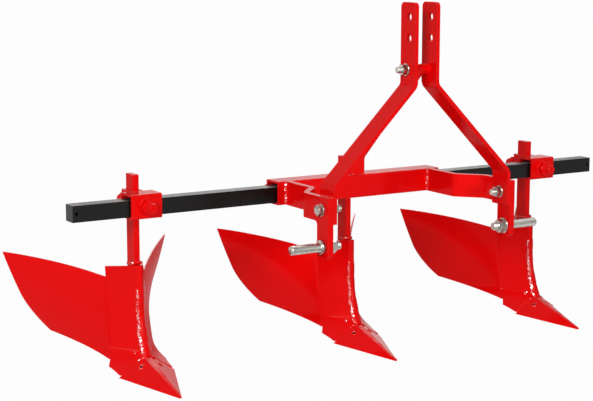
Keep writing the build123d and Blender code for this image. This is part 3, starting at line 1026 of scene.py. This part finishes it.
@dataclass
class Hitch:
    """The sleeve, the joggled arms with their pins, the mast and its strut."""

    shop: Workshop
    arm_outer: float = 227.6
    arm_thickness: float = 15.0
    hitch_outer: float = 281.0
    pin_back: float = -284.0
    pin_drop: float = 85.0
    mast_middle: float = -279.0
    mast_thickness: float = 10.0
    mast_half_spread: float = 36.6
    mast_bolt_high: float = 323.6
    mast_bolt_back: float = -273.0
    foot_bolt_high: float = 3.0
    sleeve_bolt_out: float = 225.0
    arm_weld_front: float = -30.6
    foot_weld: tuple[float, float] = (-305.0, -253.0)
    strut_weld: tuple[float, float] = (-15.0, -7.0)
    strut_half: float = 20.0
    bolt: ThroughBolt = field(default_factory=ThroughBolt)
    set_bolt: SetBolt = field(default_factory=SetBolt)

    def dress(self) -> None:
        """Paint the welded frame red."""
        self.shop.dress("centre_sleeve", RED, 1.0)
        self.shop.dress("mast_spacer", RED, 0.6)
        self.shop.dress("rear_strut", RED, 0.9)
        for side in Side:
            self.shop.dress(f"{side.word}_arm", RED, 1.0)
            self.shop.dress(f"{side.word}_mast_bar", RED, 0.9)

    def build(self) -> None:
        """Make bolts, pins and welds of the hitch."""
        for side in Side:
            self.link_pin(side)
            self.foot_bolt(side)
            seat = Seat((side.value * self.sleeve_bolt_out, TUBE.half, TUBE.middle), (0, 1, 0))
            self.shop.piece(f"{side.word}_sleeve_set_bolt", self.set_bolt.shells(seat, 10.0),
                            "hitch_frame", RED, (f"{side.word}_sleeve_bolt",))
        seat = Seat((self.mast_half_spread, self.mast_bolt_back, self.mast_bolt_high), (1, 0, 0))
        self.shop.piece("mast_through_bolt", self.bolt.shells(seat, 2 * self.mast_half_spread),
                        "hitch_frame", ZINC, ("mast_bolt",))
        self.welds()

    def link_pin(self, side: Side) -> None:
        """Make a lower link pin with collar, thread and flange nut.

        Args:
            side: the pin's side.
        """
        k = side.value
        out = Seat((k * self.hitch_outer, self.pin_back, -self.pin_drop), (k, 0, 0))
        inner = Seat((k * (self.hitch_outer - self.arm_thickness), self.pin_back, -self.pin_drop),
                     (-k, 0, 0))
        pin = out.turned([(0, 16.2), (0.8, 17.0), (7.0, 17.0), (8.0, 16.2), (8.4, 12.2),
                          (9.6, 11.2), (11, 11.0), (86.2, 11.0), (88.1, 9.4), (88.4, 8.8)], 64)
        thread = inner.thread(18.0, 16.0, 10.0, 2.5, 0.9)
        shank = inner.turned([(-15.5, 9.9), (18.5, 9.9)])
        self.shop.piece(f"{side.word}_lower_link_pin", [pin, shank, thread], "hitch_frame", ZINC,
                        (f"{side.word}_link_pin",))
        flange = inner.turned([(0, 19.2), (0.8, 20.0), (2.0, 20.0), (2.7, 19.4), (3.6, 15.4)], 64)
        nut = inner.hexagon(2.8, 16.2, 30.0, turn=0.5)
        self.shop.piece(f"{side.word}_flange_nut", [flange, nut], "hitch_frame", ZINC,
                        (f"{side.word}_pin_nut",))

    def foot_bolt(self, side: Side) -> None:
        """Make the bolt that holds a mast bar's foot to its arm.

        Args:
            side: the bolt's side.
        """
        k = side.value
        seat = Seat((k * self.hitch_outer, self.mast_middle, self.foot_bolt_high), (k, 0, 0))
        self.shop.piece(f"{side.word}_mast_foot_bolt",
                        self.bolt.shells(seat, self.arm_thickness + self.mast_thickness),
                        "hitch_frame", ZINC, (f"{side.word}_foot_bolt",))

    def welds(self) -> None:
        """Make the welds of arms, mast feet and strut."""
        beads = []
        for k, side in enumerate(Side):
            for j, (out, face) in enumerate(((0.0, 1), (self.arm_thickness, -1))):
                path = TUBE.upright(side.value * (self.arm_outer - out), self.arm_weld_front, 1.0)
                beads.append(bead(path, 7.2, (side.value * face, -1, 0), 6.6, 3 + 2 * k + j,
                                  flat=0.6))
            x = side.value * (self.hitch_outer - self.arm_thickness)
            path = np.array([[x, y, TUBE.top] for y in self.foot_weld])
            beads.append(bead(path, 3.4, (side.value, 0, 1), 3.2, 21 + k))
        for k, y in enumerate(self.strut_weld):
            path = np.array([[x, y, TUBE.top] for x in (-self.strut_half, self.strut_half)])
            beads.append(bead(path, 3.4, (0, -1 if k == 0 else 1, 1), 3.2, 31 + k))
        self.shop.piece("hitch_welds", beads, "hitch_frame", WELD)


@dataclass(frozen=True)
class BodyLines:
    """Lines of a ridging body on the side of positive X, from the middle of its row.

    A plate or wing is a ruled sheet: at each depth below the toolbar it runs straight from a
    front line to a rear line. Its grid is laid out in the side view, and X is read from there.
    """

    leg_front: float = 30.0
    keel_half: float = 8.0
    nose_front: float = 9.6
    nose_top: float = 146.0
    nose_bend: float = 235.0
    nose_round: float = 9.6
    toe_reach: float = 27.0
    toe_drop: float = 369.4
    plate_thickness: float = 5.0
    plate_step: float = 4.0
    foot_half: float = 72.0
    foot_drop: float = 405.0
    share_back: float = -15.6
    rear_drop: tuple[float, ...] = (159.6, 335.0, 369.4, 393.2)
    rear_half: tuple[float, ...] = (51.6, 56.2, 58.3, 77.0)
    rear_back: tuple[float, ...] = (106.4, 71.4, 61.5, 37.0)
    wing_thickness: float = 3.0
    wing_step: float = 1.0
    wing_root: tuple[float, float] = (186.3, 381.5)
    wing_top: tuple[float, float, float] = (230.0, 336.5, 145.0)
    wing_low: tuple[float, float, float] = (114.2, 264.9, 381.5)
    arc_start: tuple[float, float] = (325.2, 261.2)
    arc_end: tuple[float, float] = (275.5, 348.5)
    arc_bulge: float = 8.4
    top_bulge: float = 5.6
    share_reach: float = 195.8
    # at the share's back, and the change from there to its tip
    share_ridge: tuple[float, float] = (-366.0, -54.0)
    share_heel: tuple[float, float] = (-409.6, -15.0)
    share_ridge_half: tuple[float, float] = (8.5, -6.5)
    share_heel_half: tuple[float, float] = (74.5, -71.5)
    lip_reach: tuple[float, float] = (9.6, 95.0)
    lip_inset: tuple[float, float] = (8.3, 14.3)
    lip_rise: float = 3.0

    def nose(self, drop: np.ndarray) -> np.ndarray:
        """Return the Y of the keel's front at depths: upright, then on an arc to the toe.

        Args:
            drop: depths below the toolbar.

        Returns:
            Y at each depth.
        """
        sweep = self.nose_front + self.toe_reach
        radius = ((self.toe_drop - self.nose_bend) ** 2 + sweep**2) / (2 * sweep)
        below = np.clip(drop - self.nose_bend, 0, self.toe_drop - self.nose_bend)
        return self.nose_front - (radius - np.sqrt(radius**2 - below**2))

    def front(self, drop: np.ndarray) -> tuple[np.ndarray, np.ndarray]:
        """Return X and Y of the plates' front at depths, spread out behind the share below.

        The spread begins softly: it is the mean of thirteen places up to 14 mm above and below.

        Args:
            drop: depths below the toolbar.

        Returns:
            X and Y at each depth.
        """
        around = np.asarray(drop, float)[..., None] + np.linspace(-14, 14, 13)
        spread = np.clip((around - self.toe_drop) / (self.foot_drop - self.toe_drop), 0, None)
        spread = spread.mean(axis=-1)
        half = self.keel_half + (self.foot_half - self.keel_half) * spread
        toe = self.plate_step - self.toe_reach
        back = np.where(drop > self.toe_drop, toe + (self.share_back - toe) * spread,
                        self.nose(drop) + self.plate_step)
        return half, back

    def rear(self, drop: np.ndarray) -> tuple[np.ndarray, np.ndarray]:
        """Return X and Y of the plates' rear edge at depths.

        The edge is straight between its corners and past them. Each bend is eased by the mean
        of thirteen places up to 18 mm above and below.

        Args:
            drop: depths below the toolbar.

        Returns:
            X and Y at each depth.
        """
        around = np.asarray(drop, float)[..., None] + np.linspace(-18, 18, 13)
        places = np.array(self.rear_drop)
        ends = np.array([100.0, 440.0])
        eased = []
        for values in (np.array(self.rear_half), np.array(self.rear_back)):
            slope = (values[[1, -1]] - values[[0, -2]]) / (places[[1, -1]] - places[[0, -2]])
            past = values[[0, -1]] + slope * (ends - places[[0, -1]])
            whole = np.interp(around, [ends[0], *places, ends[1]], [past[0], *values, past[1]])
            eased.append(whole.mean(axis=-1))
        return eased[0], eased[1]

    def wing_end(self, drop: np.ndarray) -> tuple[np.ndarray, np.ndarray]:
        """Return X and Y at depths of the straight line that gives the wing its twist.

        Args:
            drop: depths below the toolbar.

        Returns:
            X and Y at each depth.
        """
        part = (drop - self.wing_top[2]) / (self.wing_low[2] - self.wing_top[2])
        half = self.wing_top[0] + (self.wing_low[0] - self.wing_top[0]) * part
        back = self.wing_top[1] + (self.wing_low[1] - self.wing_top[1]) * part
        return half, back

    def slab(self, back: np.ndarray, drop: np.ndarray, near: tuple[np.ndarray, np.ndarray],
             far: tuple[np.ndarray, np.ndarray], sink: float | np.ndarray,
             thickness: float) -> np.ndarray:
        """Lay a sheet with a thickness over a grid in the side view.

        X runs straight from the near line to the far line with Y. A distance square to the
        sheet is a distance along X over the cosine of the sheet's turn from the side view.

        Args:
            back: Y of the grid.
            drop: depth of the grid.
            near: X and Y of the near line at the grid's depths.
            far: X and Y of the far line at the grid's depths.
            sink: how far the outer face lies inside the lines.
            thickness: the sheet's thickness.

        Returns:
            A closed loop of columns in each row: over the outer face, and back inside.
        """
        run_x, run_y = far[0] - near[0], far[1] - near[1]
        cosine = run_y / np.hypot(run_x, run_y)
        half = near[0] + run_x * (back - near[1]) / run_y
        outer = np.stack([half - sink / cosine, back, -drop], axis=-1)
        inner = np.stack([half - (sink + thickness) / cosine, back, -drop], axis=-1)
        return np.concatenate([outer, inner[:, ::-1]], axis=1)

    def front_rows(self, start: float, below: int) -> np.ndarray:
        """Return the depths of a grid's rows at its front, stepping over the toe's corner."""
        return np.concatenate([np.linspace(start, self.toe_drop - 0.4, 56),
                               np.linspace(self.toe_drop + 1.5, self.foot_drop, below)])

    def plate(self) -> np.ndarray:
        """Return the grid of a side plate, from the nose to its rear edge.

        Along the share's back the plate is set in by a bell curve of the distance from it.

        Returns:
            The grid, rows by columns by three.
        """
        left = self.front_rows(self.nose_top + 0.6, 10)
        left_back = np.where(left < self.toe_drop, self.front(left)[1], self.share_back)
        right = np.interp(left, [self.nose_top + 0.6, self.toe_drop, self.foot_drop],
                          [self.rear_drop[0], 370.5, self.rear_drop[-1]])
        right_back = self.rear(right)[1]
        part = np.linspace(0, 1, 30)
        drop = left[:, None] + (right - left)[:, None] * part
        back = left_back[:, None] + (right_back - left_back)[:, None] * part
        seam = np.exp(-(((back - left_back[:, None]) / 2.2) ** 2))
        sink = 3.6 * seam * (left > self.toe_drop)[:, None]
        return self.slab(back, drop, self.front(drop), self.rear(drop), sink,
                         self.plate_thickness)

    def wing(self) -> np.ndarray:
        """Return the grid of a wing, from behind the plate's edge to its tip and round end.

        The wing's edge behind the plate is set in by a bell curve of the distance from it.

        Returns:
            The grid, rows by columns by three.
        """
        rows = 60
        left = np.linspace(*self.wing_root, rows)
        left_back = self.rear(left)[1]
        start, end = np.array(self.arc_start), np.array(self.arc_end)
        chord = end - start
        turn = np.linspace(-1, 1, 15)[:, None]
        out = np.array([-chord[1], chord[0]]) / np.hypot(*chord)
        arc = (start + end) / 2 + chord / 2 * turn - out * self.arc_bulge * (1 - turn**2)
        corners = np.concatenate([[[self.wing_top[1], self.wing_top[2]]], arc])
        reach = np.concatenate([[0], np.cumsum(np.hypot(*np.diff(corners, axis=0).T))])
        spread = np.linspace(0, reach[-1], rows)
        right_back = np.interp(spread, reach, corners[:, 0])
        right = np.interp(spread, reach, corners[:, 1])
        part = np.linspace(0, 1, 56)
        part = 0.65 * part + 0.35 * part**2
        rise = self.top_bulge * 4 * part * (1 - part)
        drop = left[:, None] + (right - left)[:, None] * part
        drop = drop - rise * np.linspace(1, 0, rows)[:, None] ** 2
        back = left_back[:, None] + (right_back - left_back)[:, None] * part
        sink = self.wing_step + 3.4 * np.exp(-(((back - left_back[:, None]) / 4.5) ** 2))
        return self.slab(back, drop, self.rear(drop), self.wing_end(drop), sink,
                         self.wing_thickness)

    def keel(self) -> np.ndarray:
        """Return the grid of the keel: a round nose, flat sides and a flat back on the leg.

        Half the width is the root of the nose circle's chord rule, up to the keel's side.

        Returns:
            The grid, rows by columns by three.
        """
        left = self.front_rows(self.nose_top, 6)
        left_back = np.where(left < self.toe_drop, self.nose(left), self.share_back)
        right = np.interp(left, [self.nose_top, self.foot_drop], [148.9, 394.8])
        depth = np.array([0.0, 0.12, 0.45, 1.0, 1.8, 2.9, 4.3])
        half = np.minimum(np.sqrt(self.nose_round**2 - (self.nose_round - depth) ** 2),
                          self.keel_half)
        half = np.concatenate([half, [self.keel_half]])
        span = self.leg_front - left_back[:, None]
        part = np.concatenate([depth / span, np.ones_like(span)], axis=1)
        drop = left[:, None] + (right - left)[:, None] * part
        back = left_back[:, None] + span * part
        side = np.stack([np.broadcast_to(half, back.shape), back, -drop], axis=-1)
        other = side[:, :0:-1] * np.array([-1, 1, 1])
        return np.concatenate([side, other], axis=1)

    def share_section(self, reach: np.ndarray, inset: float) -> np.ndarray:
        """Return ridge and foot of the share's cross-section at reaches, moved inward.

        All four values run straight from the share's back to its tip. The faces move inward
        along their own normal, by the half angle at the ridge and the sine at the foot.

        Args:
            reach: distances ahead of the toolbar.
            inset: how far the faces move inward.

        Returns:
            Ridge and foot at each reach.
        """
        part = (reach + self.share_back) / (self.share_reach + self.share_back)
        ridge, heel, ridge_half, heel_half = (
            back + change * part for back, change in (
                self.share_ridge, self.share_heel, self.share_ridge_half, self.share_heel_half))
        slope = np.arctan2(ridge - heel, heel_half - ridge_half)
        top = np.stack([ridge_half - inset * np.tan(slope / 2), -reach, ridge - inset], axis=-1)
        foot = np.stack([heel_half - inset / np.sin(slope), -reach, heel], axis=-1)
        return np.stack([top, foot], axis=1)

    def lip(self) -> np.ndarray:
        """Return the grid of the lip that carries the share: a roof inside the share's own.

        Returns:
            The grid, rows by columns by three.
        """
        reach = np.linspace(*self.lip_reach, 8)
        outer, inner = (self.share_section(reach, inset) for inset in self.lip_inset)
        flip = np.array([-1, 1, 1])
        for section in (outer, inner):
            section[:, 1, 2] += self.lip_rise
        return np.concatenate([outer[:, ::-1] * flip, outer, inner[:, ::-1], inner * flip], axis=1)


@dataclass
class RidgingBody:
    """One leg with its frog, share and two wings, and the welds and bolts that hold them."""

    shop: Workshop
    row: Row
    lines: BodyLines = field(default_factory=BodyLines)
    bolt_reach: float = 37.4
    bolt_down: float = 0.288
    bolt_radius: float = 8.6
    nose_weld_top: float = 204
    # A drip beside the toe, in weld paint, that carries a painted highlight spot.
    highlight_drip_spot: tuple[tuple[float, float], ...] = ((1.0, 360.0), (8.0, 357.0))
    foot_weld: tuple[tuple[float, float, float], ...] = (
        (8.0, -22.5, -366.5), (15.0, -18.5, -369.5), (24.0, -15.0, -374.5))
    leg_weld: tuple[tuple[float, float, float], ...] = (
        (9.5, 66.0, -149.0), (9.8, 31.0, -143.5), (4.0, 27.2, -143.0))

    def wing_node(self, side: Side) -> str:
        """Return the name of the frame's node for the wing on a side.

        Args:
            side: the wing's side.

        Returns:
            The node's name.
        """
        if self.row is Row.CENTRE:
            return f"centre_{side.word}_wing"
        outer = side.value * self.row.value > 0
        return f"{self.row.word}_{'outer' if outer else 'inner'}_wing"

    def placed(self, grid: np.ndarray, side: Side = Side.RIGHT) -> Shell:
        """Mirror a grid to a side, move it to the row and join it into a shell."""
        return Shell.from_grid(grid * [side.value, 1, 1] + [self.row.value, 0, 0])

    def dress(self) -> None:
        """Paint leg and share red."""
        self.shop.dress(f"{self.row.word}_leg", RED, 1.2)
        self.shop.dress(f"{self.row.word}_share", RED, 0.8)

    def build(self) -> None:
        """Make frog, wings, welds and share bolts."""
        word = self.row.word
        shells = [self.placed(self.lines.plate(), side) for side in Side]
        shells += [self.placed(self.lines.keel()), self.placed(self.lines.lip())]
        frog = self.shop.piece(f"{word}_frog_plates", shells, self.row.body, RED,
                               (f"{word}_frog",))
        self.shop.soften(frog, 0.7)
        for side in Side:
            node = self.wing_node(side)
            wing = self.shop.piece(f"{node}_sheet", [self.placed(self.lines.wing(), side)],
                                   self.row.body, RED, (node,))
            self.shop.soften(wing, 0.6)
        self.welds()
        self.share_bolts()

    def welds(self) -> None:
        """Make the welds of nose, toe and leg, and a thick drip beside the toe whose weld paint
        carries a painted highlight spot.
        """
        lines, phase = self.lines, int(self.row.value) % 7
        at = [self.row.value, 0, 0]
        drop = np.linspace(self.nose_weld_top, lines.toe_drop - 3, 32)
        spot = np.array(self.highlight_drip_spot)
        beads = []
        for k, side in enumerate(Side):
            out = (side.value, -0.75, 0.15)
            path = np.stack([np.full_like(drop, side.value * (lines.keel_half + 0.1)),
                             lines.nose(drop) + lines.plate_step + 0.2, -drop], axis=-1)
            beads.append(bead(path + at, 4.6, out, 5.4, 41 + k + phase, flat=0.34))
            low = path[18:] + np.array([side.value * 1.6, 1.4, 0])
            beads.append(bead(low + at, 5.6, out, 6.2, 51 + k + phase, flat=0.4))
            # Drip beside the toe: a lump that carries a painted highlight spot.
            near, far = lines.front(spot[:, 1]), lines.rear(spot[:, 1])
            half = near[0] + (far[0] - near[0]) * (spot[:, 0] - near[1]) / (far[1] - near[1])
            highlight_drip = np.stack([side.value * half, spot[:, 0], -spot[:, 1]], axis=-1)
            beads.append(bead(highlight_drip + at, 5.0, (side.value * 0.83, -0.5, 0.25), 9.0, 91 + k,
                              flat=0.26))
            foot = np.array(self.foot_weld) * [side.value, 1, 1]
            beads.append(bead(foot + at, 2.6, (side.value * 0.5, -0.6, 1), 4.8, 61 + k))
        half = np.array(self.leg_weld)
        collar = np.concatenate([half * [-1, 1, 1], half[::-1]])
        beads.append(bead(collar + at, 4.4, (0, -0.3, 1), 6.2, 71 + phase, flat=1.1))
        self.shop.piece(f"{self.row.word}_body_welds", beads, self.row.body, WELD)

    def share_bolts(self) -> None:
        """Make the bolt head on each face of the share, and a black hexagon in it that stands in
        for the shade in its socket.
        """
        reach = np.array([self.bolt_reach])
        top, foot = self.lines.share_section(reach, 0.0)[0]
        along = np.diff(self.lines.share_section(np.array([50.0, 60.0]), 0.0)[:, 0], axis=0)[0]
        heads, socket_shades = [], []
        for side in Side:
            flip = np.array([side.value, 1, 1])
            out = unit(np.cross(foot - top, along)) * np.sign(np.cross(foot - top, along)[2])
            at = (top + (foot - top) * self.bolt_down) * flip + [self.row.value, 0, 0]
            seat = Seat(tuple(at), tuple(out * flip))
            r = self.bolt_radius
            heads.append(seat.turned([(-2.0, r), (0.6, r), (1.6, r - 0.9), (2.0, r - 2.2),
                                      (1.4, 4.4), (0.4, 3.6)], 40))
            # Painted shade: a black hexagon where the socket's recess lies in shade.
            socket_shades.append(seat.hexagon(-0.5, 1.2, 6.8))
        word = self.row.word
        self.shop.piece(f"{word}_share_bolts", heads, self.row.body, WELD)
        self.shop.piece(f"{word}_share_bolt_sockets", socket_shades, self.row.body, BLACK)


@dataclass(frozen=True)
class Studio:
    """Floor, light and camera."""

    stance: Stance
    camera_at: tuple[float, float, float] = (-2118.30, -3164.46, 601.63)
    yaw: float = 31.79
    pitch: float = 8.84
    roll: float = 0.13
    focal_pixels: float = 1474.83
    centre: tuple[float, float] = (303.80, 182.05)
    picture: tuple[int, int] = (593, 401)
    # name, place, height of the point it shines at, side of the square, watts
    lamps: tuple[tuple[str, tuple[float, float, float], float, float, float], ...] = (
        ("key", (-5.2, -3.3, 4.0), 0.4, 2.2, 228.0),
        ("left", (-5.5, 0.0, 1.35), 0.3, 0.28, 26.0),
        ("front", (0.0, -5.4, 2.3), 0.4, 1.2, 116.0),
        ("top", (0.3, 0.4, 4.6), 0.4, 3.0, 38.0),
        ("rear", (2.8, 5.2, 2.8), 0.4, 2.5, 95.0))

    def camera(self) -> None:
        """Place the camera as the photograph was taken, in the level machine's directions."""
        yaw, pitch, roll = (math.radians(v) for v in (self.yaw, self.pitch, self.roll))
        ahead = np.array([math.sin(yaw) * math.cos(pitch), math.cos(yaw) * math.cos(pitch),
                          -math.sin(pitch)])
        right = np.array([math.cos(yaw), -math.sin(yaw), 0.0])
        up = np.cross(right, ahead)
        c, s = math.cos(roll), math.sin(roll)
        axes = self.stance.turned(np.array([c * right + s * up, c * up - s * right, -ahead]))
        lens = bpy.data.cameras.new("camera")
        lens.sensor_fit = "HORIZONTAL"
        lens.sensor_width = 36.0
        lens.lens = self.focal_pixels / self.picture[0] * 36.0
        lens.shift_x = (self.picture[0] / 2 - self.centre[0]) / self.picture[0]
        lens.shift_y = (self.centre[1] - self.picture[1] / 2) / self.picture[0]
        lens.clip_start, lens.clip_end = 0.05, 200.0
        seen = shown("camera", lens)
        stand(seen, axes, self.stance.parked(np.array(self.camera_at)))
        bpy.context.scene.camera = seen

    def world(self) -> None:
        """White for the camera and for reflections, a soft grey for the light itself."""
        world = bpy.data.worlds.new("studio")
        bpy.context.scene.world = world
        n = Nodes.emptied(world)
        light = n.add("ShaderNodeBackground", i_0=(0.98, 0.99, 1.0, 1.0), i_1=0.1).outputs[0]
        white = n.add("ShaderNodeBackground", i_0=(1.0, 1.0, 1.0, 1.0), i_1=1.0).outputs[0]
        both = n.add("ShaderNodeMixShader", i_0=n.seen(), i_1=light, i_2=white)
        n.feed(n.add("ShaderNodeOutputWorld").inputs[0], both.outputs[0])

    def floor(self) -> None:
        """A pale floor that fades into the white background and keeps the shadow."""
        half = 14.0
        mesh = bpy.data.meshes.new("floor")
        mesh.from_pydata([(-half, -half, 0), (half, -half, 0), (half, half, 0), (-half, half, 0)],
                         [], [(0, 1, 2, 3)])
        material = bpy.data.materials.new("floor")
        n = Nodes.emptied(material)
        matt = n.add("ShaderNodeBsdfDiffuse", i_0=(0.65, 0.65, 0.65, 1.0)).outputs[0]
        white = n.add("ShaderNodeEmission", i_1=1.0).outputs[0]
        share = n.math("MULTIPLY", n.seen(), 0.97)
        both = n.add("ShaderNodeMixShader", i_0=share, i_1=matt, i_2=white)
        n.feed(n.add("ShaderNodeOutputMaterial").inputs[0], both.outputs[0])
        mesh.materials.append(material)
        shown("floor", mesh)

    def lamp(self, name: str, at: tuple[float, float, float], aim: np.ndarray, size: float,
             power: float) -> None:
        """Hang one soft square lamp.

        Args:
            name: the lamp's name.
            at: its place in metres.
            aim: the point it shines at, in metres.
            size: its side in metres.
            power: its power in watts.
        """
        data = bpy.data.lights.new(name, "AREA")
        data.shape = "SQUARE"
        data.size = size
        data.energy = power
        back = unit(np.array(at) - aim)
        right = unit(np.cross([0.0, 0.0, 1.0], back))
        stand(shown(name, data), np.array([right, np.cross(back, right), back]), at)

    def build(self) -> None:
        """Set up camera, world, floor and lamps, and plain colour handling."""
        self.camera()
        self.world()
        self.floor()
        for name, at, aim, size, power in self.lamps:
            self.lamp(name, at, np.array([0.0, 0.0, aim]), size, power)
        bpy.context.scene.view_settings.view_transform = "Standard"


def main() -> None:
    """Build the sub-assemblies in order."""
    logging.basicConfig(level=logging.INFO, format="%(name)s %(message)s")
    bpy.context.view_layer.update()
    shop = Workshop()
    Studio(shop.stance).build()
    toolbar = Toolbar(shop)
    toolbar.dress()
    toolbar.build()
    toolbar.pocket(Row.CENTRE, "hitch_frame")
    hitch = Hitch(shop)
    hitch.dress()
    hitch.build()
    for row in Row:
        body = RidgingBody(shop, row)
        body.dress()
        body.build()


if __name__ == "__main__":
    main()
